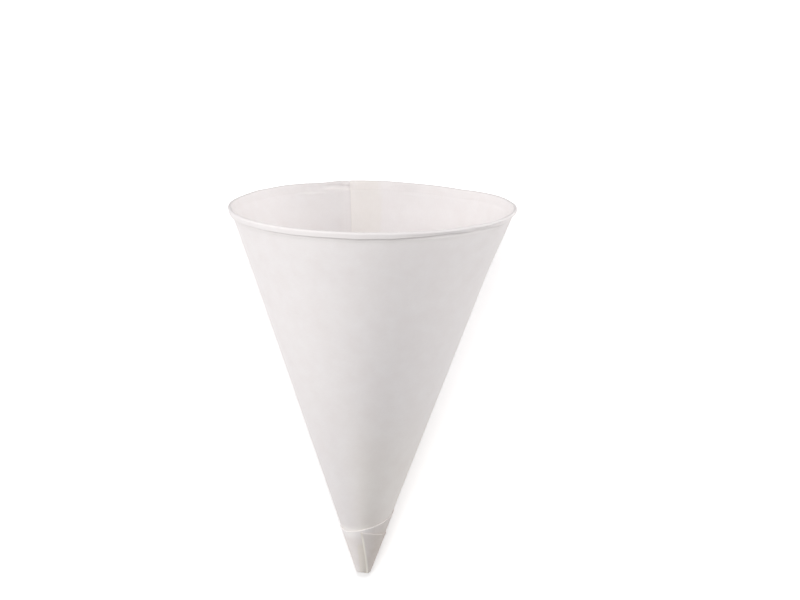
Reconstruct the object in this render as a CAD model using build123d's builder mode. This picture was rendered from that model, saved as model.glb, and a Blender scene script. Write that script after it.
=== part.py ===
from build123d import *
from math import asin, atan2, cos, degrees, hypot, radians, sin, sqrt, tan
import os

# Cone paper cup, made of one sheet: wound into a cone, glued along the side, rolled at the rim.
# The tail of the sheet is wound on round the point, which is up to three sheets thick.
# It is made upright, with its axis on Z and its point at the origin, and then laid on its seam.
# Directions round the axis are in degrees: 0 is the front, -Y, and 90 is the right, +X.

# Overall size, in millimetres
mouth_diameter = 73.0
height = 95.25
paper = 0.2

# Rolled rim: an outward roll pressed to an oval, with its free edge tucked up inside it
rim_height = 1.8
rim_depth = 0.95
rim_lean = 16.0
tuck_radius = 0.19
tuck_length = 0.5
crease_drop = 1.9

# Point: blunt, and filled inside by the folded start of the winding
point_diameter = 2.9
point_rounding = 0.5
point_floor = 0.9
layer_clearance = 0.02

# Side seam: where the sheet starts, inside, and how far its end laps over that start
start_direction = 188.8
lap_width = 8.0
lap_ramp = 2.5
groove_start = 9.0

# Roll at the seam, where the doubled paper fills it and it is pressed flat
filled_width = 10.6
flat_width = 9.0

# Tail of the sheet: its upper edge falls from the lap's corner across the front, in one slanting
# plane, and runs on round the back and over itself, in another, as the edge of the second turn
lap_corner = 22.0
first_height = 14.0
first_slant = 22.5
first_low_side = -50.0
second_height = 11.5
second_slant = 7.7
second_low_side = 100.0

# Free end of the tail, which runs down the front: how far it lies right of the axis
end_top_right = -1.0
end_middle_right = 0.41
end_point_right = 1.3
end_top_height = 12.4

# Section of the rim: the roll's own two directions, along its height and across its depth
roll_up = Vector(sin(radians(rim_lean)), cos(radians(rim_lean)))
roll_out = Vector(cos(radians(rim_lean)), -sin(radians(rim_lean)))
top_radius = rim_depth / 2
bend_radius = top_radius - paper / 2
top_centre = Vector(mouth_diameter / 2 - top_radius, height - top_radius)
leg_length = rim_height - top_radius - tuck_radius - paper / 2
tuck_centre = top_centre + roll_out * (bend_radius - tuck_radius) - roll_up * leg_length
band_end = top_centre - roll_out * bend_radius
crease = band_end - roll_up * crease_drop

# Slope of the wall, which runs straight from the point's edge to the crease
point_radius = point_diameter / 2
crease_reach = hypot(crease.X - point_radius, crease.Y)
half_angle = atan2(crease.X - point_radius, crease.Y) + asin(paper / 2 / crease_reach)
apex_depth = point_radius / tan(half_angle)
below_point = -1.0
ramp_end = start_direction + lap_ramp


def wall_radius(z, offset=0.0):
    """Radius at a height of the cone that lies so far outside the wall's outer face."""
    return point_radius + z * tan(half_angle) + offset / cos(half_angle)


def plan_point(radius, direction):
    """Point seen from above, so far from the axis in a direction."""
    return (radius * sin(radians(direction)), -radius * cos(radians(direction)))


def front_point(slant, direction):
    """Point of the wall seen from the front, so far from the apex in a direction."""
    x, _ = plan_point(slant * sin(half_angle), direction)
    return (x, slant * cos(half_angle) - apex_depth)


def lap_edge(slant):
    """Point of the lap's cut edge, which keeps its distance from the sheet's start."""
    turned = degrees(asin(lap_width / slant)) / sin(half_angle)
    return front_point(slant, start_direction - turned)


def slanting_plane(at_height, slant, low_side):
    """Plane that crosses the axis at a height and falls towards one side."""
    x, y = plan_point(sin(radians(slant)), low_side)
    return Plane(origin=(0, 0, at_height), z_dir=(x, y, cos(radians(slant))))


def wound_layer(number, region, top):
    """Layer of the sheet outside the wall, counted outward, where the region holds it."""
    with BuildPart() as layer:
        with BuildSketch(Plane.XZ):
            Polygon(
                (wall_radius(below_point, -paper / 2), below_point),
                (wall_radius(below_point, number * paper), below_point),
                (wall_radius(top, number * paper), top),
                (wall_radius(top, -paper / 2), top),
                align=None,
            )
        revolve(axis=Axis.Z)
        add(region, mode=Mode.INTERSECT)
    return layer.part


def seam_sliver(bottom, top, corners):
    """Sliver that narrows down the seam, its corners given by offset and by direction."""
    with BuildPart() as sliver:
        for z in (bottom, top):
            with BuildSketch(Plane.XY.offset(z)):
                with BuildLine():
                    places = [plan_point(wall_radius(z, out), turn) for out, turn in corners]
                    Polyline(*places, close=True)
                make_face()
        loft()
    return sliver.part


def outer_ramp(number, top):
    """Where the sheet climbs over its own start, to lie as the layer of that number."""
    behind = start_direction - lap_ramp / 2
    corners = [
        (-paper / 2, behind),
        ((number - 0.5) * paper, behind),
        (number * paper, start_direction),
        ((number - 1) * paper, ramp_end),
        (-paper / 2, ramp_end),
    ]
    return seam_sliver(below_point, top, corners)


reach = mouth_diameter
first_edge = slanting_plane(first_height, first_slant, first_low_side)
second_edge = slanting_plane(second_height, second_slant, second_low_side)
lap_top = crease.Y - paper
lap_slant = (lap_top + apex_depth) / cos(half_angle)

# Middle of the doubled strip, and how deep the roll is pressed there
roll_radius = tuck_radius + paper / 2
lowest_reach = tuck_centre.X + roll_radius
lap_turn = degrees(asin(lap_width / lap_slant)) / sin(half_angle)
seam_middle = start_direction - lap_turn / 2
filled_turn = 2 * degrees(asin(filled_width / 2 / lowest_reach))
flat_depth = (lowest_reach - sqrt(lowest_reach**2 - (flat_width / 2) ** 2)) * cos(half_angle)

# Ground line that the flat of the roll and the point both touch, and its angle to the axis
edge_centre = Vector(
    wall_radius(point_rounding, 2 * paper) - point_rounding / cos(half_angle), point_rounding
)
span = tuck_centre - edge_centre
lying_angle = degrees(
    atan2(span.X, span.Y) - asin((point_rounding - roll_radius + flat_depth) / span.length)
)
outward = Vector(cos(radians(lying_angle)), -sin(radians(lying_angle)))
ground = tuck_centre + outward * (roll_radius - flat_depth)

# Space at the back left, above the tail
with BuildPart() as above_tail:
    with Locations((-reach / 2, reach / 2, 0)):
        Box(reach, reach, 2 * reach)
    split(bisect_by=second_edge, keep=Keep.TOP)

# Region of the first turn: the tail below its edge, and the lap up the back
with BuildPart() as first_region:
    Box(reach, reach, reach)
    split(bisect_by=first_edge, keep=Keep.BOTTOM)
    add(above_tail.part, mode=Mode.SUBTRACT)
    with BuildSketch(Plane.XZ):
        with BuildLine():
            ThreePointArc(lap_edge(lap_corner), lap_edge(lap_slant / 2), lap_edge(lap_slant))
            Polyline(
                lap_edge(lap_slant),
                front_point(lap_slant, start_direction),
                front_point(0, start_direction),
                lap_edge(lap_corner),
            )
        make_face()
    extrude(amount=-reach)

# Region of the second turn: from the sheet's start round the right side to the free end
with BuildPart() as second_region:
    with BuildSketch(Plane.XZ):
        with BuildLine():
            Polyline(
                (0, -apex_depth),
                front_point(reach, start_direction),
                (reach, reach),
                (reach, -apex_depth),
                close=True,
            )
        make_face()
    extrude(amount=-reach)
    with BuildSketch(Plane.XZ):
        with BuildLine():
            end_top = (end_top_right, end_top_height)
            end_point = (end_point_right, 0)
            ThreePointArc(end_top, (end_middle_right, end_top_height / 2), end_point)
            Polyline(
                end_point,
                (end_point_right, -apex_depth),
                (reach, -apex_depth),
                (reach, reach),
                (end_top_right, reach),
                end_top,
            )
        make_face()
    extrude(amount=reach)
    split(bisect_by=second_edge, keep=Keep.BOTTOM)

# Ramp of the second turn, under the same edge
with BuildPart() as second_ramp:
    add(outer_ramp(2, reach / 2))
    split(bisect_by=second_edge, keep=Keep.BOTTOM)

# Outer shape of the point: cut off blunt and rounded, clear of the layers above it
with BuildPart() as outer_shape:
    outermost = 2 * paper + layer_clearance
    with BuildSketch(Plane.XZ) as half_section:
        Polygon(
            (0, 0),
            (wall_radius(0, outermost), 0),
            (wall_radius(reach / 2, outermost), reach / 2),
            (reach, reach / 2),
            (reach, 2 * reach),
            (0, 2 * reach),
            align=None,
        )
        fillet(half_section.vertices().sort_by(Axis.Y)[:2].sort_by(Axis.X)[-1], point_rounding)
    revolve(axis=Axis.Z)

# The whole cup, upright
with BuildPart() as upright_cup:
    # wall and rim, one sheet thick
    with BuildSketch(Plane.XZ):
        with BuildLine():
            Line((wall_radius(below_point, -paper / 2), below_point), crease)
            Line(crease, band_end)
            ThreePointArc(
                band_end, top_centre + roll_up * bend_radius, top_centre + roll_out * bend_radius
            )
            Line(top_centre + roll_out * bend_radius, tuck_centre + roll_out * tuck_radius)
            ThreePointArc(
                tuck_centre + roll_out * tuck_radius,
                tuck_centre - roll_up * tuck_radius,
                tuck_centre - roll_out * tuck_radius,
            )
            Line(
                tuck_centre - roll_out * tuck_radius,
                tuck_centre - roll_out * tuck_radius + roll_up * tuck_length,
            )
        trace(line_width=paper)
    revolve(axis=Axis.Z)
    # folded paper that closes the point
    with BuildSketch(Plane.XZ):
        Polygon(
            (0, below_point),
            (wall_radius(below_point, -paper / 2), below_point),
            (wall_radius(point_floor, -paper / 2), point_floor),
            (0, point_floor),
            align=None,
        )
    revolve(axis=Axis.Z)
    # lap and tail, with the ramps where each turn climbs over the sheet's start
    add(wound_layer(1, first_region.part, lap_top))
    add(wound_layer(2, second_region.part, reach / 2))
    add(outer_ramp(1, lap_top))
    add(second_ramp.part)
    # the first climb seen inside: a shallow groove along the sheet's start
    groove = [
        (-2 * paper, start_direction),
        (0, start_direction),
        (-paper, ramp_end),
        (-2 * paper, ramp_end),
    ]
    add(seam_sliver(groove_start, lap_top, groove), mode=Mode.SUBTRACT)
    # the doubled paper that fills the roll at the seam
    with BuildSketch(Plane.XZ.rotated((0, 0, seam_middle - filled_turn / 2 - 90))):
        with BuildLine():
            ThreePointArc(
                band_end, top_centre + roll_up * bend_radius, top_centre + roll_out * bend_radius
            )
            Line(top_centre + roll_out * bend_radius, tuck_centre + roll_out * tuck_radius)
            ThreePointArc(
                tuck_centre + roll_out * tuck_radius,
                tuck_centre - roll_up * tuck_radius,
                tuck_centre - roll_out * tuck_radius,
            )
            Polyline(
                tuck_centre - roll_out * tuck_radius,
                band_end - roll_up * leg_length,
                band_end,
            )
        make_face()
    revolve(axis=Axis.Z, revolution_arc=filled_turn)
    # the flat that the roll is pressed to there
    flat_place = (*plan_point(ground.X, seam_middle), ground.Y)
    flat_faces = (*plan_point(outward.X, seam_middle), outward.Y)
    with BuildSketch(Plane(origin=flat_place, z_dir=flat_faces)):
        Rectangle(2 * flat_width, 2 * flat_width)
    extrude(amount=rim_depth, mode=Mode.SUBTRACT)
    add(outer_shape.part, mode=Mode.INTERSECT)

# Lying on its seam: the flat of the roll and the point both touch the ground
with BuildPart() as lying_cup:
    with Locations(Rotation(lying_angle - 90, 0, 0) * Rotation(0, 0, 180 - seam_middle)):
        add(upright_cup.part)
footprint = lying_cup.part.bounding_box()

# Origin under the middle of the cup, on the ground
with BuildPart() as cup:
    with Locations((-footprint.center().X, -footprint.center().Y, -footprint.min.Z)):
        add(lying_cup.part)
cup.part.label = "cup"
os.makedirs("parts", exist_ok=True)
export_step(cup.part, "parts/cup.step")
print(f"lies at {lying_angle:.2f} degrees, wall slopes {degrees(half_angle):.2f} degrees")
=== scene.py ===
"""Looks of the cone paper cup: one sheet of paper, wound into a cone and rolled over at the rim.

The sheet is laid out flat in code, as it is cut, and a geometry tree winds it into the cup:
round the cone, over its own start, and along the section of the wall and of the rolled rim.
Lengths of the cup are in millimetres until the sheet is wound, and in metres after that.

Words for a place on the cup:
- front: direction round the axis in degrees, 0 at the front, 90 at the right, to 180 either way;
- back: the same direction counted from 0 to 360, so that 180 is the back;
- turn: how far the sheet has been wound there from its start edge, in degrees;
- slant: distance up the wall from the tip of the whole cone, which the blunt point cuts short.

Endings of names:
- place: middle and width of a soft hump;
- limits: where a soft change begins and ends;
- stretch: where a soft stretch begins, is full, fades and ends.
"""

from math import asin, atan2, cos, degrees, exp, hypot, pi, radians, sin, sqrt, tan

import bmesh
import bpy
from mathutils import Matrix, Vector, noise


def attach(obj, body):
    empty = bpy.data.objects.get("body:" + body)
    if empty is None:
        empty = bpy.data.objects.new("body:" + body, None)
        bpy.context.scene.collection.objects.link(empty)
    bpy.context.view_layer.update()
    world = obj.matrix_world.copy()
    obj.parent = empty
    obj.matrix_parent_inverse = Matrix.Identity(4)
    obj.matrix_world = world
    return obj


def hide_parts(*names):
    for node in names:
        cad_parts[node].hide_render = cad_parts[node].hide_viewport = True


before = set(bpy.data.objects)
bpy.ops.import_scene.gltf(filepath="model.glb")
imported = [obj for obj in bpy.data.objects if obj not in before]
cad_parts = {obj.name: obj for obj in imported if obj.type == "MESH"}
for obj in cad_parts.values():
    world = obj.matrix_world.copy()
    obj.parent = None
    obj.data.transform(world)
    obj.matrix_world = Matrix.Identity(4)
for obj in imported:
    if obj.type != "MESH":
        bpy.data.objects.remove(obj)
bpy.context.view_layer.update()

MM = 0.001

# Sizes of the cup, as in the part's source
mouth_diameter = 73.0
height = 95.25
paper = 0.2

rim_height = 1.8
rim_depth = 0.95
rim_lean = radians(16.0)
tuck_radius = 0.19
tuck_length = 0.5
crease_drop = 1.9

point_radius = 1.45
point_rounding = 0.5
start_direction = 188.8
lap_width = 8.0
lap_corner = 22.0
flat_width = 9.0

# Sizes that the sheet has here alone: air between its layers, its worn free end, how it climbs
# over its own start and closes the point, and the slow waves of the wall
sheet_thickness = 0.19
worn_share = 0.15
climb_width, longest_climb = 1.5, 1.2
pinhole_radius = 0.12
floor_bend = 0.16
glue_radius = 0.29
wall_waves, wall_wave_length, wall_wave_limits = 0.05, 22.0, (6.0, 20.0)

# How far to either side of the seam the roll is pressed flat
pressed_reach = 8.0

# Steps of the section's bends: where the floor turns into the wall, the top and the tuck
corner_steps, top_steps, tuck_steps = 6, 16, 12

# Millimetres of the flat sheet to one of its UV map
uv_width = 100.0

# Sizes of the paper's own pattern, how far its fibres stand up and its clouds as a share of that,
# and its roughness between the fibres and on them
cloud_width = 4.0
blotch_width = 1.5
fibre_length, fibre_width = 1.2, 0.3
fibre_relief, cloud_relief_share = 0.02, 1.6
smoothest, dullest = 0.78, 0.95

# The tail's upper edges lie in slanting planes, which cut the cone where 1 / slant is
# mean + swing * cos(front - low side), and the second one follows on the first
first_mean, first_swing, first_low_side = 0.0524, 0.0079, -50
second_mean, second_swing, second_low_side = 0.0609, 0.0030, 100
first_rise, first_rise_place = 0.35, (-75, 18)
second_edge_limits = (629, 649)

# The free end, a cut that runs down the front: how far it lies right of the axis, and the slant
# below which it keeps its direction
end_top_height = 12.4
end_top_right = -1.0
end_point_right = 1.0
end_bow = 0.44
end_lowest_slant = 3.6

# The tail from the turn where it has a spot of glue, is outermost, and comes to its free end
spot_turn, outer_turn, end_turn_start = 500, 700, 800

# How far the edges of the tail and its free end stand off the layer below
edge_lift, edge_lift_length = 0.05, 0.9
edge_lift_at_left, edge_lift_place = 0.11, (-50, 16)
end_lift, end_lift_length = 0.05, 0.8

# How far the rim is off its true circle, with the directions, and how long its waves are. From
# below the crease the wall follows the rim, and from above it the band follows the roll's waves.
rim_out, right_swell, left_draw = 0.12, 0.62, 0.28
side_tilt, rim_drop = 0.5, 0.3
back_left_rise, back_left_place = 0.24, (219, 14)
back_right_dip, back_right_place = 0.34, (141, 12)
roll_out_waves, roll_out_length = 0.09, 9.0
roll_up_waves, roll_up_length = 0.10, 6.0
roll_edge_waves, roll_edge_length = 0.10, 3.0
pinch_start, pinch_start_limits = 0.5, (4, 34)
pinch_rise, pinch_rise_limits = 0.42, (49, 56)
pinch_dip, pinch_dip_place = 0.28, (43.5, 4)
pinch_groove, pinch_groove_place = 0.16, (46, 2.6)
pinch_end_limits = (74, 100)
from_seam_limits = (8, 20)
follows_from_below, waves_from_above = 16, 0.6

# How high or deep the small marks of the paper are, and where: along them by direction, and
# across them in millimetres up from the crease or down from the end of the band
crease_ridge, ridge_place = 0.12, (0.0, 0.6)
ridge_mean, ridge_swing, ridge_length = 0.8, 0.6, 5.0
right_fold_height, right_fold_stretch = 0.16, (50, 54, 68, 78)
right_fold_up, right_fold_fall, right_fold_limits, right_fold_width = 0.9, 0.3, (56, 66), 0.28
crumple_depth, crumple_length = 0.16, 1.5
crumple_stretch, crumple_band_stretch = (187.5, 190, 206, 216), (-0.4, 0.2, 1.9, 2.6)
groove_depth, groove_stretch = 0.24, (187.5, 190, 197, 203)
groove_down, groove_climb, groove_limits, groove_width = 1.1, 0.6, (189, 198), 0.32
band_fold_height, band_fold_stretch = 0.16, (198, 202, 209, 214)
band_fold_down, band_fold_climb, band_fold_limits, band_fold_width = 2.3, 0.1, (204, 212), 0.3
nick_depth, nick_across_place, nick_places = 0.10, (-0.9, 0.35), ((165, 1.4), (151, 1.2))

# How strongly painted shade greys places of the paper, from 0 to 1, and where
roll_shade, roll_shade_limits, roll_side_fade = 0.75, (-0.1, 0.35), 0.8
pinched_roll_shade, pinched_roll_place = 0.15, (24, 14)
band_shade, band_shade_limits, band_place = 0.26, (-0.15, 0.0), (180, 55)
crease_line_shade, crease_line_place = 0.15, (0.0, 0.16)
band_right_shade, band_right_place = 0.5, (164, 7)
upper_wall_shade, upper_wall_stretch, upper_wall_place = 0.3, (-0.1, 0.0, 0.5, 6.5), (180, 50)
lap_start_shade, lap_start_limits = 0.5, (313, 357)
lap_start_fade, lap_start_fade_limits = 0.45, (354, 359.5)
low_left_shade, low_left_limits, left_side_limits = 0.55, (19, 75), (4, 40)
right_fold_shade, groove_shade_down = 0.6, 0.2
fold_end_shade, fold_end_across_place, fold_end_place = 0.6, (2.5, 0.3), (211, 2.2)

# How warm, and where
lap_warmth, lap_warmth_limits = 0.5, (lap_width - 0.7, lap_width + 0.2)
low_wall_warmth, low_wall_limits, front_side_limits = 0.55, (28, 62), (-35, 5)
spot_warmth, spot_top_limits, spot_stretch = 2.0, (11.0, 14.0), (-0.5, 0.1, 0.9, 1.8)

# How stained with glue, and where; on the tail's right the stain is also painted shade
low_wall_stain, soaked_wall_limits = 0.15, (17, 28)
tail_stain, end_stain, spot_stain, glue_stain = 0.40, 0.1, 0.27, 0.6
outer_right_stain_and_shade, inner_right_stain_and_shade, stain_and_shade_stretch = 0.47, 0.38, (4, 46, 110, 150)
clean_edge_limits, clean_right_share, clean_right_limits = (0.2, 3.2), 0.75, (2, 26)

# How pale: cut edges a little whiter, partly as painted highlight, and painted light on the folds,
# under the roll and above the tail, and where
start_edge_pale, start_edge_limits = 0.2, (0.15, 0.4)
under_roll_painted_light, under_roll_stretch, under_roll_place = 0.35, (-0.5, 0.0, 0.5, 1.6), (15, 50)
above_tail_pale, above_tail_limits = 0.55, (0.2, 1.6)
above_tail_stretch = (-100, -60, 0, 25)
groove_pale, groove_pale_down = 0.45, 0.75
band_fold_pale, band_fold_pale_down = 0.2, 0.25
tuck_pale, tuck_pale_limits, tuck_place = 0.35, (-0.3, 0.0), (12, 50)
outer_edge_pale, inner_edge_pale = 0.3, 0.62
tail_edge_limits, tail_side_limits = (0.2, 0.5), (42, 62)
patch_pale, patch_limits, patch_place = 0.6, (0.6, 2.6), (-38, 15)
end_edge_limits = (0.25, 0.5)
end_highlight_fade, end_highlight_limits = 0.5, (14.6, 15.8)

# How pale the floor is where it lights the cup and where it is seen, and half its width in metres
floor_lit, floor_shown = 0.8, 1.45
half_floor = 6.0

# Section of the rim
roll_up = Vector((sin(rim_lean), cos(rim_lean)))
roll_out = Vector((cos(rim_lean), -sin(rim_lean)))
top_radius = rim_depth / 2
bend_radius = top_radius - paper / 2
top_centre = Vector((mouth_diameter / 2 - top_radius, height - top_radius))
leg_length = rim_height - top_radius - tuck_radius - paper / 2
tuck_centre = top_centre + roll_out * (bend_radius - tuck_radius) - roll_up * leg_length
band_end = top_centre - roll_out * bend_radius
crease = band_end - roll_up * crease_drop

# Slope of the wall
crease_reach = hypot(crease.x - point_radius, crease.y)
half_angle = atan2(crease.x - point_radius, crease.y) + asin(paper / 2 / crease_reach)
slope = sin(half_angle)
apex_depth = point_radius / tan(half_angle)
apex = Vector((0.0, -apex_depth))
up_wall = Vector((sin(half_angle), cos(half_angle)))
off_wall = Vector((cos(half_angle), -sin(half_angle)))

# How it lies: the flat of the roll at the seam and the point touch the ground
roll_radius = tuck_radius + paper / 2
lowest_reach = tuck_centre.x + roll_radius
lap_slant = (crease.y - paper + apex_depth) / cos(half_angle)
seam_middle = start_direction - degrees(asin(lap_width / lap_slant)) / slope / 2
flat_depth = (lowest_reach - sqrt(lowest_reach**2 - (flat_width / 2) ** 2)) * cos(half_angle)
edge_centre = Vector((
    point_radius + point_rounding * tan(half_angle)
    + (2 * paper - point_rounding) / cos(half_angle),
    point_rounding,
))
span = tuck_centre - edge_centre
lying_angle = atan2(span.x, span.y) - asin(
    (point_rounding - roll_radius + flat_depth) / span.length
)

# Where the foot of the cup's axis comes, as the solids have it, whose box stands centred over the
# origin, and the turn that lays the cup down
point_place = Vector((0.0, -50.6496, 1.9540))
lay_down = Matrix.Rotation(lying_angle - pi / 2, 3, "X") @ Matrix.Rotation(
    radians(180 - seam_middle), 3, "Z"
)


def row(place):
    """A place in the upright cup, in millimetres, as a place in the row frame, in metres."""
    return (lay_down @ Vector(place) + point_place) * MM


# Section of the sheet, which the tree follows

def arc(centre, radius, first, last, steps):
    """Points along an arc, by angle in degrees, the first left out."""
    turns = [first + (last - first) * n / steps for n in range(1, steps + 1)]
    return [centre + Vector((cos(radians(t)), sin(radians(t)))) * radius for t in turns]


def section_path():
    """Middle of the sheet from the axis out, up the wall and round the rim, and named marks."""
    floor = 2.5 * paper
    inner_apex = apex - off_wall * paper / 2
    corner = inner_apex + up_wall * ((floor - inner_apex.y) / up_wall.y)
    setback = floor_bend * tan((pi / 2 - half_angle) / 2)
    bend_centre = Vector((corner.x - setback, floor + floor_bend))
    lean = degrees(rim_lean)
    points = [Vector((pinhole_radius, floor)), Vector((corner.x - setback, floor))]
    points += arc(bend_centre, floor_bend, -90, -degrees(half_angle), corner_steps)
    marks = {"wall": len(points) - 1}
    points.append(crease)
    marks["crease"] = len(points) - 1
    points.append(band_end)
    marks["band end"] = len(points) - 1
    points += arc(top_centre, bend_radius, 180 - lean, -lean, top_steps)
    marks["leg"] = len(points) - 1
    points.append(tuck_centre + roll_out * tuck_radius)
    marks["leg end"] = len(points) - 1
    points += arc(tuck_centre, tuck_radius, -lean, -180 - lean, tuck_steps)
    marks["tuck"] = len(points) - 1
    points.append(points[-1] + roll_up * tuck_length)
    marks["end"] = len(points) - 1
    return points, marks


section, marks = section_path()
run = [0.0]
for before, after in zip(section, section[1:]):
    run.append(run[-1] + (after - before).length)
first_slant = (section[marks["wall"]] - apex).dot(up_wall) - run[marks["wall"]]
slant_at = {name: first_slant + run[place] for name, place in marks.items()}

section_curve = bpy.data.curves.new("section", "CURVE")
section_curve.dimensions = "3D"
line = section_curve.splines.new("POLY")
line.points.add(len(section) - 1)
for point, place in zip(line.points, section):
    point.co = (place.x, 0.0, place.y, 1.0)
section_object = bpy.data.objects.new("section", section_curve)
bpy.context.scene.collection.objects.link(section_object)


# Where the sheet's corners lie when it is flat

def ease(value):
    value = min(max(value, 0.0), 1.0)
    return value * value * (3 - 2 * value)


def between(value, low, high):
    """0 below the low limit, 1 above the high one, eased."""
    return ease((value - low) / (high - low))


def along(value, start, full, fading, end):
    """1 along a stretch and 0 outside it, eased at both of its ends."""
    return between(value, start, full) * (1 - between(value, fading, end))


def hump(value, middle, width):
    return exp(-(((value - middle) / width) ** 2))


def ladder(first, *rest):
    """Values from stop to stop: after each stop comes the number of steps to the next."""
    values = []
    for steps, last in zip(rest[::2], rest[1::2]):
        values += [first + (last - first) * n / steps for n in range(steps)]
        first = last
    return values + [first]


def direction_at(turn):
    """Direction round the axis at a winding angle, from -180 to 180."""
    return (start_direction - turn + 180) % 360 - 180


def lap_turn(slant):
    """Winding angle of the lap's cut edge."""
    return 360 + degrees(asin(lap_width / slant)) / slope


def end_turn(slant):
    """Winding angle of the free end."""
    up = max(slant * cos(half_angle) - apex_depth, 0.0)
    rise = min(up, end_top_height) / end_top_height
    across = end_point_right * (1 - rise) + end_top_right * rise + end_bow * 2 * rise * (1 - rise)
    reach = max(slant, end_lowest_slant) * slope + 2 * paper
    return 360 * 2 + start_direction - degrees(asin(across / reach))


def tail_slant(turn):
    """How far up the tail's upper edge reaches at a winding angle."""
    front = direction_at(turn)
    first = 1 / (first_mean + first_swing * cos(radians(front - first_low_side)))
    first += first_rise * hump(front, *first_rise_place)
    second = 1 / (second_mean + second_swing * cos(radians(front - second_low_side)))
    mixed = between(turn, *second_edge_limits)
    return min(lap_corner, first * (1 - mixed) + second * mixed)


# Rows go up the sheet and are closer where it bends. Below the fixed slant those of the tail are
# level, and above it they spread to its slanting edge.
fixed_slant = 6.2
rows = ladder(
    first_slant, 5,
    slant_at["wall"] - 0.25, 6,
    slant_at["wall"] + 0.1, 5,
    fixed_slant, 26,
    lap_corner, 36,
    slant_at["crease"] - 1.2, 9,
    slant_at["crease"] + 0.4, 7,
    slant_at["band end"], 12,
    slant_at["leg"], 8,
    slant_at["leg end"], 9,
    slant_at["tuck"], 3,
    slant_at["end"],
)
first_top = rows.index(lap_corner)
lap_cut = slant_at["leg"] + 0.45

# Columns go round it: once round, over the lap, on along the tail, and to the free end. They are
# closer at the start of the sheet and where the rim is pinched.
once = ladder(0, 8, 4, 68, 122, 42, 150, 105, 332, 38, 356, 10, 360)[:-1]
lap_columns = 14
even_turn = 850
tail_columns = 122
end_columns = 18
columns = (
    [("plain", turn) for turn in once]
    + [("lap", n / lap_columns) for n in range(lap_columns + 1)]
    + [("plain", turn) for turn in ladder(lap_turn(lap_corner), tail_columns, even_turn)[1:-1]]
    + [("end", n / end_columns) for n in range(end_columns + 1)]
)
last_lap = len(once) + lap_columns


def blank_place(column, number):
    """Winding angle and distance from the blank's apex of a corner of the flat sheet."""
    kind, share = columns[column]
    slant = rows[number]
    if kind == "lap":
        turn = 360 + share * (lap_turn(max(slant, lap_corner)) - 360)
    elif kind == "end":
        turn = None
    else:
        turn = share
    if column > last_lap:
        guess = even_turn + share * (end_turn(lap_corner) - even_turn) if turn is None else turn
        if slant > fixed_slant:
            reach = tail_slant(guess) - fixed_slant
            slant = fixed_slant + (slant - fixed_slant) / (lap_corner - fixed_slant) * reach
        if turn is None:
            turn = even_turn + share * (end_turn(slant) - even_turn)
    return turn, slant


def from_free_end(turn, slant):
    """Distance along the sheet to its free end, in millimetres."""
    return (end_turn(slant) - turn) * slant * slope * pi / 180


# Unevenness, folds and dents of the paper, by place

def lift_at(turn, slant):
    """How far the sheet stands off the layer below it, in millimetres."""
    front = direction_at(turn)
    lift = 0.0
    if turn > lap_turn(lap_corner):
        from_edge = max(tail_slant(turn) - slant, 0.0)
        at_left = hump(front, *edge_lift_place) * (turn < outer_turn)
        edge = edge_lift + edge_lift_at_left * at_left
        lift += edge * exp(-from_edge / edge_lift_length)
    if turn > end_turn_start:
        lift += end_lift * exp(-max(from_free_end(turn, slant), 0.0) / end_lift_length)
    return lift


def ripple(front, slant, length):
    """Soft random waves of the paper, about -1 to 1, of a given length in millimetres."""
    around = Vector((sin(radians(front)), cos(radians(front)))) * mouth_diameter / 2
    return noise.noise(Vector((around.x, around.y, slant * 1.6)) / length)


def push_at(turn, slant):
    """How far the rim is off its true circle, outward and upward, in millimetres."""
    front = direction_at(turn)
    back = front % 360
    near_rim = between(slant, slant_at["crease"] - follows_from_below, slant_at["crease"])
    rolled = between(slant, slant_at["band end"], slant_at["leg"])
    in_roll = between(slant, slant_at["crease"] + waves_from_above, slant_at["band end"])
    low_in_roll = between(slant, slant_at["leg"], slant_at["leg end"])
    right = max(sin(radians(front)), 0.0)
    left = max(-sin(radians(front)), 0.0)

    # the whole rim sits a little low on the left and swells on the right
    out = near_rim * (rim_out + right_swell * right**4 - left_draw * left**4)
    up = near_rim * (side_tilt * sin(radians(front)) - rim_drop)
    up += near_rim * back_left_rise * hump(back, *back_left_place)
    up -= near_rim * back_right_dip * hump(back, *back_right_place)

    # the roll was never quite even, and its three kinds of waves start from different places
    out += in_roll * roll_out_waves * ripple(front, 0.0, roll_out_length)
    up += in_roll * roll_up_waves * ripple(front + 40, 0.0, roll_up_length)
    up += low_in_roll * roll_edge_waves * ripple(front, 20.0, roll_edge_length)

    # front right: the roll is pinched, and its lower edge runs up to the right
    pinched = pinch_start * between(front, *pinch_start_limits)
    pinched += pinch_rise * between(front, *pinch_rise_limits)
    pinched -= pinch_dip * hump(front, *pinch_dip_place)
    up += low_in_roll * pinched * (1 - between(front, *pinch_end_limits))
    out -= rolled * pinch_groove * hump(front, *pinch_groove_place)

    # at the seam it lies on the ground and keeps its true place
    from_seam = abs((front - seam_middle + 180) % 360 - 180)
    free = between(from_seam, *from_seam_limits)
    return out * free, up * free


def groove_in_band(back, band):
    """The groove that the start of the lap presses into the band, from 0 to 1."""
    middle = groove_down - groove_climb * between(back, *groove_limits)
    return hump(band, middle, groove_width) * along(back, *groove_stretch)


def fold_in_band(back, band):
    """The fold that runs on to the left from the groove, lower down, from 0 to 1."""
    middle = band_fold_down - band_fold_climb * between(back, *band_fold_limits)
    return hump(band, middle, band_fold_width) * along(back, *band_fold_stretch)


def fold_on_right(front, past_crease):
    """The fold that starts under the pinch, front right, and runs up to the right, from 0 to 1."""
    middle = right_fold_up - right_fold_fall * between(front, *right_fold_limits)
    return hump(past_crease, middle, right_fold_width) * along(front, *right_fold_stretch)


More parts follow.
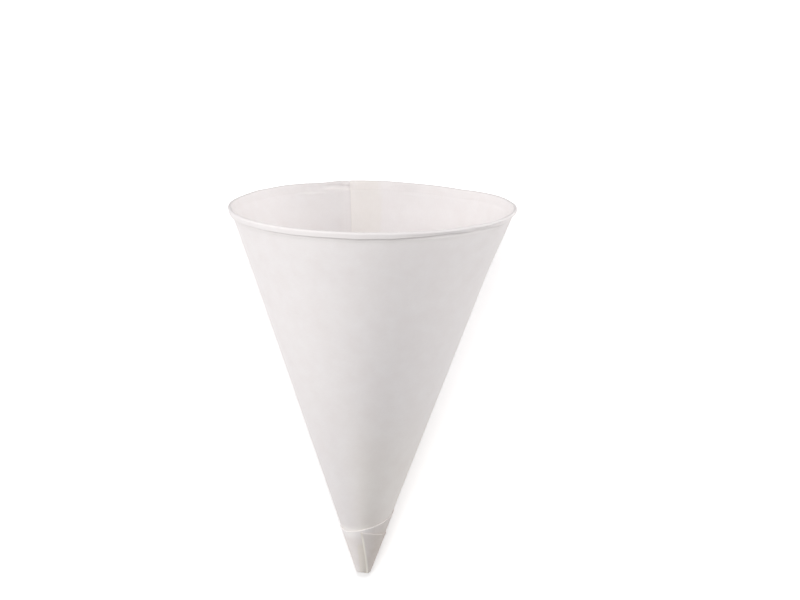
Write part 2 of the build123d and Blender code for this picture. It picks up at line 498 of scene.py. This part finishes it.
def dent_at(turn, slant):
    """Small folds and dents of the wall under the roll and of the band inside it."""
    front = direction_at(turn)
    back = front % 360
    past_crease = slant - slant_at["crease"]
    dent = 0.0
    if -3.0 < past_crease < 2.0:
        # the wall stands out in a soft ridge where it turns into the band
        uneven = ridge_mean + ridge_swing * ripple(front, 5.0, ridge_length)
        dent += crease_ridge * hump(past_crease, *ridge_place) * uneven
        dent += right_fold_height * fold_on_right(front, past_crease)
    if 186 < back < 218 and turn < 361:
        # back left of the seam: the band is crumpled over the start of the lap
        band = slant_at["band end"] - slant
        crumpled = along(back, *crumple_stretch) * along(band, *crumple_band_stretch)
        dent -= crumple_depth * crumpled * ripple(front, slant, crumple_length)
        dent += groove_depth * groove_in_band(back, band)
        dent -= band_fold_height * fold_in_band(back, band)
    # two short nicks right of the seam
    nicks = sum(hump(front, *place) for place in nick_places)
    dent -= nick_depth * hump(past_crease, *nick_across_place) * nicks
    return dent


# How the paper is tinted, by place

def painted_shade_at(turn, slant):
    """How much painted shade greys the paper: a share, which the material stops at 1."""
    front = direction_at(turn)
    back = front % 360
    band = slant_at["band end"] - slant
    below = slant_at["crease"] - slant
    top_of_roll = (slant_at["band end"] + slant_at["leg"]) / 2

    # painted shade: the roll is a little grey on top, and the band at the back, with a dark line at
    # its crease
    in_roll = between(-band, *roll_shade_limits)
    shade = roll_shade + pinched_roll_shade * hump(front, *pinched_roll_place)
    shade *= in_roll * (1 - roll_side_fade * between(slant, top_of_roll, slant_at["leg"]))
    in_band = between(-below, *band_shade_limits) * (1 - in_roll)
    in_line = hump(below, *crease_line_place)
    at_back = (band_shade * in_band + crease_line_shade * in_line) * hump(back, *band_place)
    shade = max(shade, at_back, band_right_shade * in_band * hump(back, *band_right_place))
    # painted shade also greys the wall below the band, and the paper that lies over the start of
    # the sheet
    under_band = along(below, *upper_wall_stretch)
    shade = max(shade, upper_wall_shade * under_band * hump(back, *upper_wall_place))
    if turn < 360.01:
        over_start = lap_start_shade * between(turn, *lap_start_limits)
        over_start *= 1 - lap_start_fade * between(turn, *lap_start_fade_limits)
        shade += over_start * (1 - 0.6 * shade)
    # painted shade: towards the tail, the left of the wall is greyer
    if 200 < turn < 360:
        low = 1 - between(slant, *low_left_limits)
        shade += low_left_shade * low * between(-front, *left_side_limits)
    # painted shadow: the folds are dark on their lower sides, and the one in the band ends in a
    # painted dark spot
    if turn < 360:
        shade = max(shade, right_fold_shade * fold_on_right(front, 0.25 - below))
    if turn < 361:
        fold_end = hump(band, *fold_end_across_place) * hump(back, *fold_end_place)
        groove = groove_in_band(back, band + groove_shade_down)
        shade = max(shade, groove, fold_end_shade * fold_end)
    return shade


def glue_spot(turn, slant):
    """The spot of glue beside the free end, on the layer that it lies on, from 0 to 1."""
    if not spot_turn < turn <= end_turn_start:
        return 0.0
    past = -from_free_end(turn + 360, slant)
    return (1 - between(slant, *spot_top_limits)) * along(past, *spot_stretch)


def warmth_at(turn, slant):
    """How warm the white of the paper is: a share, which the material stops at 1."""
    if turn > end_turn_start:
        return 1 - between(from_free_end(turn, slant), *end_edge_limits)
    if turn > spot_turn:
        return spot_warmth * glue_spot(turn, slant)
    from_start = turn * slant * slope * pi / 180
    warm = lap_warmth * (1 - between(from_start, *lap_warmth_limits))
    if turn < 360:
        # towards the tail, the front and the right of the wall are warmer
        low = 1 - between(slant, *low_wall_limits)
        right = between(direction_at(turn), *front_side_limits)
        warm = max(warm, low_wall_warmth * low * right)
    return warm


def stain_at(turn, slant):
    """How much glue has soaked into the paper, from 0 to 1; on the tail it grows darker to the
    right, where it is also painted shade.
    """
    front = direction_at(turn)
    stain = low_wall_stain * (1 - between(slant, *soaked_wall_limits))
    if turn > lap_turn(lap_corner) and slant < lap_corner:
        outer = turn > outer_turn
        # the stain grows to the right, partly glue and partly painted shade
        right = along(front, *stain_and_shade_stretch)
        stain = tail_stain + (outer_right_stain_and_shade if outer else inner_right_stain_and_shade) * right
        if not outer:
            clean = 1 - between(tail_slant(turn) - slant, *clean_edge_limits)
            stain *= 1 - clean * (1 - clean_right_share * between(front, *clean_right_limits))
    if turn > end_turn_start:
        stain += end_stain
    return stain + (spot_stain - stain) * glue_spot(turn, slant)


def pale_edges_and_painted_light_at(turn, slant):
    """How white the paper is, from 0 to 1: at cut edges, partly as painted highlight, and with
    painted light where shade would fall under the roll, above the tail and on the folds.
    """
    front = direction_at(turn)
    back = front % 360
    band = slant_at["band end"] - slant
    below = slant_at["crease"] - slant
    from_start = turn * slant * slope * pi / 180
    # the start edge is whiter, partly as painted highlight
    pale = start_edge_pale * (1 - between(from_start, *start_edge_limits))
    if turn < 360:
        # painted light where the roll's shadow falls on the wall, and just above the tail, where
        # its edge shades the wall
        under_roll = along(below, *under_roll_stretch) * hump(front, *under_roll_place)
        above = 1 - between(slant - tail_slant(turn + 360), *above_tail_limits)
        pale = max(pale, under_roll_painted_light * under_roll)
        pale = max(pale, above_tail_pale * along(front, *above_tail_stretch) * above)
    # painted highlights on the upper sides of the groove and of the fold in the band
    if turn < 361:
        pale = max(pale, groove_pale * groove_in_band(back, band - groove_pale_down))
        pale = max(pale, band_fold_pale * fold_in_band(back, band + band_fold_pale_down))
    # painted light on the roll's tuck, against the shade beneath it
    tucked = between(slant - slant_at["leg end"], *tuck_pale_limits)
    pale = max(pale, tuck_pale * tucked * hump(front, *tuck_place))
    # the tail's cut edges are whiter, partly as painted highlight, which fades towards the shaded
    # right
    if turn > lap_turn(lap_corner) and slant < lap_corner:
        outer = turn > outer_turn
        from_edge = tail_slant(turn) - slant
        pale = outer_edge_pale if outer else inner_edge_pale
        pale *= 1 - between(from_edge, *tail_edge_limits)
        pale *= 1 - between(front, *tail_side_limits)
        # and on the inner layer, a paler patch below the edge on the left
        if not outer:
            patch = hump(front, *patch_place) * (1 - between(from_edge, *patch_limits))
            pale = max(pale, patch_pale * patch)
    # the free end's cut edge is whiter, partly as painted highlight, fading towards its top
    if turn > end_turn_start:
        end_highlight = 1 - end_highlight_fade * between(slant, *end_highlight_limits)
        at_end = 1 - between(from_free_end(turn, slant), *end_edge_limits)
        pale = max(pale, end_highlight * at_end)
    return pale


def flat_sheet():
    """The sheet as it is cut: the fan of the cone, its lap, and the tail that closes the point."""
    shape = bmesh.new()
    pattern = shape.loops.layers.uv.new("blank")
    names = ("lift", "push out", "push up", "shade", "warm", "stain", "pale")
    layers = [shape.verts.layers.float.new(name) for name in names]
    corners = {}
    for column in range(len(columns)):
        highest = len(rows) if column <= last_lap else first_top + 1
        for number in range(highest):
            turn, slant = blank_place(column, number)
            if len(once) < column <= last_lap and slant > lap_cut:
                continue
            around = radians(turn) * slope
            vert = shape.verts.new((slant * cos(around), slant * sin(around), 0.0))
            values = (
                lift_at(turn, slant) + dent_at(turn, slant),
                *push_at(turn, slant),
                painted_shade_at(turn, slant),
                warmth_at(turn, slant),
                stain_at(turn, slant),
                pale_edges_and_painted_light_at(turn, slant),
            )
            for layer, value in zip(layers, values):
                vert[layer] = value
            corners[column, number] = vert
    for column in range(len(columns) - 1):
        for number in range(len(rows) - 1):
            ring = [
                corners.get((column, number)),
                corners.get((column + 1, number)),
                corners.get((column + 1, number + 1)),
                corners.get((column, number + 1)),
            ]
            if None not in ring:
                face = shape.faces.new(ring)
                for loop in face.loops:
                    loop[pattern].uv = loop.vert.co.xy / uv_width
    shape.verts.index_update()
    last = len(columns) - 1
    worn = [corner.index for place, corner in corners.items() if place[0] == last]
    mesh = bpy.data.meshes.new("blank")
    shape.to_mesh(mesh)
    shape.free()
    return mesh, worn


# The winding tree

MATH = "ShaderNodeMath"
VECTOR_MATH = "ShaderNodeVectorMath"
SPLIT = "ShaderNodeSeparateXYZ"
JOIN = "ShaderNodeCombineXYZ"
MAP_RANGE = "ShaderNodeMapRange"
NOISE = "ShaderNodeTexNoise"
NAMED = "GeometryNodeInputNamedAttribute"


def put(tree, kind, feeds=(), **settings):
    """Adds a node with its settings, links or sets its inputs, and gives its outputs.

    What feeds the inputs comes in order or by name: a number, a vector, a thing, a socket, or the
    outputs of another node, of which the first is meant."""
    made = tree.nodes.new(kind)
    for name, value in settings.items():
        setattr(made, name, value)
    for key, value in feeds.items() if isinstance(feeds, dict) else enumerate(feeds):
        if isinstance(value, bpy.types.bpy_prop_collection):
            value = value[0]
        if isinstance(value, bpy.types.NodeSocket):
            tree.links.new(value, made.inputs[key])
        else:
            made.inputs[key].default_value = value
    return made.outputs


def winding_tree():
    """The tree that winds the flat sheet into the cup, with its sizes as inputs."""
    tree = bpy.data.node_groups.new("wind the sheet", "GeometryNodeTree")
    face = tree.interface
    sizes = {
        "Start direction": radians(start_direction),
        "Paper": paper,
        "Climb": climb_width,
        "Slope": slope,
        "First slant": first_slant,
        "Lap cut": lap_cut,
        "Unevenness": wall_waves,
        "Uneven length": wall_wave_length,
        "Flat low": paper / 2 - flat_depth,
        "Flat top": paper / 2 - flat_depth + 2 * bend_radius,
        "Flat reach": lowest_reach,
        "Flat start": slant_at["crease"] - 1.0,
    }
    face.new_socket("Geometry", in_out="INPUT", socket_type="NodeSocketGeometry")
    face.new_socket("Section", in_out="INPUT", socket_type="NodeSocketObject")
    face.new_socket("Material", in_out="INPUT", socket_type="NodeSocketMaterial")
    for name, value in sizes.items():
        socket = face.new_socket(name, in_out="INPUT", socket_type="NodeSocketFloat")
        socket.default_value = value
    for name in ("Lie", "Place"):
        face.new_socket(name, in_out="INPUT", socket_type="NodeSocketVector")
    face.new_socket("Geometry", in_out="OUTPUT", socket_type="NodeSocketGeometry")
    given = put(tree, "NodeGroupInput")

    # where each corner lies on the flat sheet
    flat = put(tree, "GeometryNodeInputPosition")
    slant = put(tree, VECTOR_MATH, [flat], operation="LENGTH")["Value"]
    flat = put(tree, SPLIT, [flat])
    turned = put(tree, MATH, [flat[1], flat[0]], operation="ARCTAN2")
    past_half = put(tree, MATH, [turned, -0.1], operation="LESS_THAN")
    full_turn = put(tree, MATH, [past_half, 2 * pi], operation="MULTIPLY")
    around = put(tree, MATH, [turned, full_turn], operation="ADD")
    turn = put(tree, MATH, [around, given["Slope"]], operation="DIVIDE")

    # the same corner on the section
    path = put(tree, "GeometryNodeObjectInfo", {"Object": given["Section"]})["Geometry"]
    length = put(tree, MATH, [slant, given["First slant"]], operation="SUBTRACT")
    sampled = {"Curves": path, "Length": length}
    sample = put(tree, "GeometryNodeSampleCurve", sampled, mode="LENGTH")
    heading = put(tree, SPLIT, [sample["Tangent"]])
    inward = put(tree, MATH, [heading[0], -1.0], operation="MULTIPLY")
    outward = put(tree, JOIN, [heading[2], 0.0, inward])
    reach = put(tree, SPLIT, [sample["Position"]])

    # each turn climbs over the one before it, and inside the roll there is but one
    climb = put(tree, MATH, [given["Climb"], reach], operation="DIVIDE")
    climb = put(tree, MATH, [climb, longest_climb], operation="MINIMUM")
    steps = []
    for turns in (1, 2):
        start = put(tree, MATH, [2 * pi * turns, climb], operation="SUBTRACT")
        limits = {"Value": turn, "From Min": start, "From Max": 2 * pi * turns - 0.001}
        steps.append(put(tree, MAP_RANGE, limits, interpolation_type="SMOOTHSTEP"))
    climbed = put(tree, MATH, steps, operation="ADD")
    stand_off = put(tree, MATH, [climbed, given["Paper"]], operation="MULTIPLY")
    roll_start = put(tree, MATH, [given["Lap cut"], 0.5], operation="ADD")
    limits = {"Value": slant, "From Min": given["Lap cut"], "From Max": roll_start}
    in_roll = put(tree, MAP_RANGE, limits, interpolation_type="SMOOTHSTEP")
    out_of_roll = put(tree, MATH, [1.0, in_roll], operation="SUBTRACT")
    stand_off = put(tree, MATH, [stand_off, out_of_roll], operation="MULTIPLY")
    lift = put(tree, NAMED, {"Name": "lift"})
    stand_off = put(tree, MATH, [stand_off, lift], operation="ADD")

    # unevenness of the wall, the same for all the layers of a place
    direction = put(tree, MATH, [given["Start direction"], turn], operation="SUBTRACT")
    right = put(tree, MATH, [direction], operation="SINE")
    ahead = put(tree, MATH, [direction], operation="COSINE")
    spot_right = put(tree, MATH, [right, reach], operation="MULTIPLY")
    spot_ahead = put(tree, MATH, [ahead, reach], operation="MULTIPLY")
    spot = put(tree, JOIN, [spot_right, spot_ahead, slant])
    scale = put(tree, MATH, [1.0, given["Uneven length"]], operation="DIVIDE")
    waves = put(tree, NOISE, {"Vector": spot, "Scale": scale, "Detail": 1.0})
    waves = put(tree, MATH, [waves, 0.5], operation="SUBTRACT")
    swing = put(tree, MATH, [2.0, given["Unevenness"]], operation="MULTIPLY")
    waves = put(tree, MATH, [waves, swing], operation="MULTIPLY")
    low, high = wall_wave_limits
    limits = {"Value": slant, "From Min": low, "From Max": high}
    up_the_wall = put(tree, MAP_RANGE, limits, interpolation_type="SMOOTHSTEP")
    waves = put(tree, MATH, [waves, up_the_wall], operation="MULTIPLY")
    stand_off = put(tree, MATH, [stand_off, waves], operation="ADD")

    # the corner's place in the upright cup
    moved = put(tree, VECTOR_MATH, {0: outward, "Scale": stand_off}, operation="SCALE")
    place = put(tree, VECTOR_MATH, [sample["Position"], moved], operation="ADD")
    place = put(tree, SPLIT, [place])
    push_out = put(tree, NAMED, {"Name": "push out"})
    push_up = put(tree, NAMED, {"Name": "push up"})
    out = put(tree, MATH, [place[0], push_out], operation="ADD")
    up = put(tree, MATH, [place[2], push_up], operation="ADD")
    rightward = put(tree, MATH, [out, right], operation="MULTIPLY")
    forward = put(tree, MATH, [out, ahead], operation="MULTIPLY")
    backward = put(tree, MATH, [forward, -1.0], operation="MULTIPLY")
    wound = put(tree, JOIN, [rightward, backward, up])

    # laid on its seam
    lie = {"Vector": wound, "Rotation": given["Lie"]}
    turned_over = put(tree, "ShaderNodeVectorRotate", lie, rotation_type="EULER_XYZ")
    laid = put(tree, VECTOR_MATH, [turned_over, given["Place"]], operation="ADD")
    laid = put(tree, SPLIT, [laid])

    # the roll is pressed flat against the ground at the seam: what lies between the top of the
    # flat and its low side is squeezed to what fits above the ground
    away = put(tree, MATH, [laid[0], given["Flat reach"]], operation="DIVIDE")
    squared = put(tree, MATH, [away, 2.0], operation="POWER")
    squared = put(tree, MATH, [1.0, squared], operation="SUBTRACT")
    root = put(tree, MATH, [squared], operation="SQRT")
    bulge = put(tree, MATH, [1.0, root], operation="SUBTRACT")
    bulge = put(tree, MATH, [bulge, given["Flat reach"]], operation="MULTIPLY")
    low = put(tree, MATH, [given["Flat low"], bulge], operation="ADD")
    half_paper = put(tree, MATH, [given["Paper"], 0.5], operation="MULTIPLY")
    wanted = put(tree, MATH, [low, half_paper], operation="MAXIMUM")
    left_over = put(tree, MATH, [given["Flat top"], wanted], operation="SUBTRACT")
    full = put(tree, MATH, [given["Flat top"], low], operation="SUBTRACT")
    share = put(tree, MATH, [left_over, full], operation="DIVIDE")
    under = put(tree, MATH, [given["Flat top"], laid[2]], operation="SUBTRACT")
    under = put(tree, MATH, [under, 0.0], operation="MAXIMUM")
    lost = put(tree, MATH, [1.0, share], operation="SUBTRACT")
    rise = put(tree, MATH, [under, lost], operation="MULTIPLY")
    sideways = put(tree, MATH, [laid[0]], operation="ABSOLUTE")
    near_seam = put(tree, MATH, [sideways, pressed_reach], operation="LESS_THAN")
    rise = put(tree, MATH, [rise, near_seam], operation="MULTIPLY")
    flat_full = put(tree, MATH, [given["Flat start"], 1.0], operation="ADD")
    limits = {"Value": slant, "From Min": given["Flat start"], "From Max": flat_full}
    at_rim = put(tree, MAP_RANGE, limits, interpolation_type="SMOOTHSTEP")
    rise = put(tree, MATH, [rise, at_rim], operation="MULTIPLY")
    risen = put(tree, MATH, [laid[2], rise], operation="ADD")
    pressed = put(tree, JOIN, [laid[0], laid[1], risen])

    placed = {"Geometry": given["Geometry"], "Position": pressed}
    placed = put(tree, "GeometryNodeSetPosition", placed)
    metres = put(tree, "GeometryNodeTransform", {"Geometry": placed, "Scale": (MM, MM, MM)})
    real = put(tree, "GeometryNodeRealizeInstances", [metres])
    finished = {"Geometry": real, "Material": given["Material"]}
    put(tree, "NodeGroupOutput", [put(tree, "GeometryNodeSetMaterial", finished)])
    return tree


# Finishes

def linear(hex_colour):
    """A colour written as sRGB hex, as the linear values that a node takes."""
    values = [int(hex_colour[n : n + 2], 16) / 255 for n in (1, 3, 5)]
    bent = [v / 12.92 if v <= 0.04045 else ((v + 0.055) / 1.055) ** 2.4 for v in values]
    return (*bent, 1.0)


def paper_material():
    """Uncoated bleached cup paper, calendered: matt and slightly warm white to the eye, faintly
    cloudy, with fibres just raised, yellower where glue has soaked in, warmer on the glued lap,
    and whiter at cut edges. Painted shade greys the roll, the band, the folds and parts of the
    wall, and painted highlights and painted light whiten the folds, the edges and the wall under
    the roll."""
    material = bpy.data.materials.new("uncoated bleached paper")
    material.use_nodes = True
    tree = material.node_tree
    tree.nodes.clear()

    # clouds of the sheet's formation, blotches where glue soaks in, and fibres, which are drawn ten
    # times their real width, so that they show
    spot = put(tree, "ShaderNodeTexCoord")["Object"]
    wide = {"Vector": spot, "Scale": 1 / (cloud_width * MM), "Detail": 3.0}
    clouds = put(tree, NOISE, wide)[0]
    flat = put(tree, "ShaderNodeUVMap", uv_map="blank")
    stretched = (uv_width / fibre_length, uv_width / fibre_width, 1.0)
    grain = put(tree, "ShaderNodeMapping", {"Vector": flat, "Scale": stretched})
    fibres = put(tree, NOISE, {"Vector": grain, "Scale": 1.0, "Detail": 3.0})[0]
    small = {"Vector": spot, "Scale": 1 / (blotch_width * MM), "Detail": 2.0}
    blotches = put(tree, NOISE, small)

    sown = {}
    for name in ("shade", "warm", "stain", "pale"):
        sown[name] = put(tree, "ShaderNodeAttribute", attribute_name=name)["Fac"]
    uneven = put(tree, MATH, [blotches, 0.6, 0.7], operation="MULTIPLY_ADD")
    soaked = put(tree, MATH, [uneven, sown["stain"]], operation="MULTIPLY")

    colour = linear("#f6f3f3")
    # the shade share is painted shade; the pale share whitens cut edges and adds painted highlights
    # and painted light; the stain share is glue, and on the tail's right also painted shade
    tints = (
        (clouds, "#f8f5f4", "MULTIPLY"),
        (fibres, "#fbfafa", "MULTIPLY"),
        (sown["shade"], "#ebebeb", "MULTIPLY"),
        (soaked, "#e3ded8", "MULTIPLY"),
        (sown["pale"], "#fbf7f4", "MIX"),
        (sown["warm"], "#fcfbf5", "MULTIPLY"),
    )
    for share, tint, blend in tints:
        mixed = {0: share, 6: colour, 7: linear(tint)}
        colour = put(tree, "ShaderNodeMix", mixed, data_type="RGBA", blend_type=blend)[2]

    relief = put(tree, MATH, [clouds, cloud_relief_share, fibres], operation="MULTIPLY_ADD")
    raised = {"Height": relief, "Strength": 1.0, "Distance": fibre_relief * MM}
    bump = put(tree, "ShaderNodeBump", raised)
    dull = put(tree, MAP_RANGE, {"Value": fibres, "To Min": smoothest, "To Max": dullest})
    surface = {
        "Base Color": colour,
        "Roughness": dull,
        "IOR": 1.5,
        "Specular IOR Level": 0.3,
        "Normal": bump,
    }
    shader = put(tree, "ShaderNodeBsdfPrincipled", surface)
    put(tree, "ShaderNodeOutputMaterial", {"Surface": shader})
    return material


def ground_material():
    """White studio sweep: matt and plain white to the eye. It is shown paler than it lights the
    cup, so that it reads as white."""
    material = bpy.data.materials.new("white studio sweep")
    material.use_nodes = True
    tree = material.node_tree
    tree.nodes.clear()
    rays = put(tree, "ShaderNodeLightPath")
    seen = rays["Is Camera Ray"]
    for name in ("Is Glossy Ray", "Is Transmission Ray"):
        seen = put(tree, MATH, [seen, rays[name]], operation="MAXIMUM")
    lit = put(tree, "ShaderNodeBsdfDiffuse", {"Color": (*[floor_lit] * 3, 1.0)})
    shown = put(tree, "ShaderNodeBsdfDiffuse", {"Color": (*[floor_shown] * 3, 1.0)})
    mixed = put(tree, "ShaderNodeMixShader", [seen, lit, shown])
    put(tree, "ShaderNodeOutputMaterial", {"Surface": mixed})
    return material


# The cup

white_paper = paper_material()
blank, worn_corners = flat_sheet()
sheet = bpy.data.objects.new("wound sheet", blank)
bpy.context.scene.collection.objects.link(sheet)
full = sheet.vertex_groups.new(name="thickness")
full.add(range(len(sheet.data.vertices)), 1.0, "REPLACE")
full.add(worn_corners, 0.0, "REPLACE")
winding = winding_tree()
winder = sheet.modifiers.new("wind", "NODES")
winder.node_group = winding
chosen = {
    "Section": section_object,
    "Material": white_paper,
    "Lie": tuple(lay_down.to_euler("XYZ")),
    "Place": tuple(point_place),
}
for socket in winding.interface.items_tree:
    if socket.in_out == "INPUT" and socket.name in chosen:
        winder[socket.identifier] = chosen[socket.name]
body = sheet.modifiers.new("thickness", "SOLIDIFY")
body.thickness = sheet_thickness * MM
body.offset = 0.0
body.use_even_offset = True
body.use_quality_normals = True
body.vertex_group = "thickness"
body.thickness_vertex_group = worn_share

evaluated = sheet.evaluated_get(bpy.context.evaluated_depsgraph_get())
cup_mesh = bpy.data.meshes.new_from_object(evaluated)
bpy.data.objects.remove(sheet)
bpy.data.objects.remove(section_object)
cup_mesh.name = "cone_cup"
cup = bpy.data.objects.new("cone_cup", cup_mesh)
bpy.context.scene.collection.objects.link(cup)

# the bead of glue that closes the point, where the sheet's turns meet
glued = bmesh.new()
glued.from_mesh(cup_mesh)
bead = bmesh.ops.create_icosphere(
    glued,
    subdivisions=3,
    radius=glue_radius * MM,
    matrix=Matrix.Translation(row((0.0, 0.0, 1.5 * paper))),
)["verts"]
stained = glued.verts.layers.float["stain"]
for vert in bead:
    vert[stained] = glue_stain
glued.to_mesh(cup_mesh)
glued.free()
cup_mesh.polygons.foreach_set("use_smooth", [True] * len(cup_mesh.polygons))
cup_mesh.set_sharp_from_angle(angle=radians(40))
cup_mesh.materials.clear()
cup_mesh.materials.append(white_paper)

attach(cup, "root")
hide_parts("cup")

# The ground
sides = ((-1, -1), (1, -1), (1, 1), (-1, 1))
corners = [(x * half_floor, y * half_floor, 0) for x, y in sides]
ground_mesh = bpy.data.meshes.new("ground")
ground_mesh.from_pydata(corners, [], [(0, 1, 2, 3)])
ground_mesh.materials.append(ground_material())
ground = bpy.data.objects.new("ground", ground_mesh)
bpy.context.scene.collection.objects.link(ground)

# The camera: in front of the upright cup and a little above its rim's plane, far off. A place on
# the cup's axis comes where the picture has it, in pixels.
above_rim = radians(10.76)
lean_right = radians(1.236)
camera_distance = 3.0
pixels_per_mm = 3.925
picture_width, picture_height = 800, 600
axis_height = 47.5
axis_across, axis_down = 366.8, 389.9
sensor = 36.0
look = (lay_down @ Vector((0, -cos(above_rim), sin(above_rim)))).normalized()
axis = lay_down @ Vector((0, 0, 1))
upright = (axis - look * axis.dot(look)).normalized()
rightward = (-look).cross(upright).normalized()
image_up = upright * cos(lean_right) - rightward * sin(lean_right)
image_right = (-look).cross(image_up).normalized()
centre = (
    row((0, 0, axis_height))
    + image_right * ((picture_width / 2 - axis_across) / pixels_per_mm * MM)
    + image_up * ((axis_down - picture_height / 2) / pixels_per_mm * MM)
)
camera_data = bpy.data.cameras.new("camera")
camera_data.sensor_width = sensor
camera_data.lens = sensor * pixels_per_mm / picture_width * camera_distance / MM
camera_data.clip_end = 20.0
camera = bpy.data.objects.new("camera", camera_data)
bpy.context.scene.collection.objects.link(camera)
facing = Matrix((image_right, image_up, look)).transposed().to_4x4()
camera.matrix_world = Matrix.Translation(centre + look * camera_distance) @ facing
bpy.context.scene.camera = camera

# The light: square softboxes that face the cup and are out of sight themselves, each by name,
# place, width and power
softboxes = (
    ("left softbox", (-0.75, 0.05, 0.25), 0.5, 3.13),
    ("overhead softbox", (-0.01, 0.083, 0.32), 0.2, 0.435),
    ("right softbox", (0.28, 0.10, 0.07), 0.14, 0.31),
)
for name, place, size, power in softboxes:
    light = bpy.data.lights.new(name, "AREA")
    light.shape = "SQUARE"
    light.size = size
    light.energy = power
    lamp = bpy.data.objects.new(name, light)
    lamp.visible_camera = False
    bpy.context.scene.collection.objects.link(lamp)
    lamp.location = place
    lamp.rotation_euler = (-Vector(place)).to_track_quat("-Z", "Y").to_euler()
world = bpy.data.worlds.new("studio")
world.use_nodes = True
background = world.node_tree.nodes["Background"]
background.inputs["Color"].default_value = (1.0, 1.0, 1.0, 1.0)
background.inputs["Strength"].default_value = 0.4
bpy.context.scene.world = world
bpy.context.scene.view_settings.view_transform = "Standard"
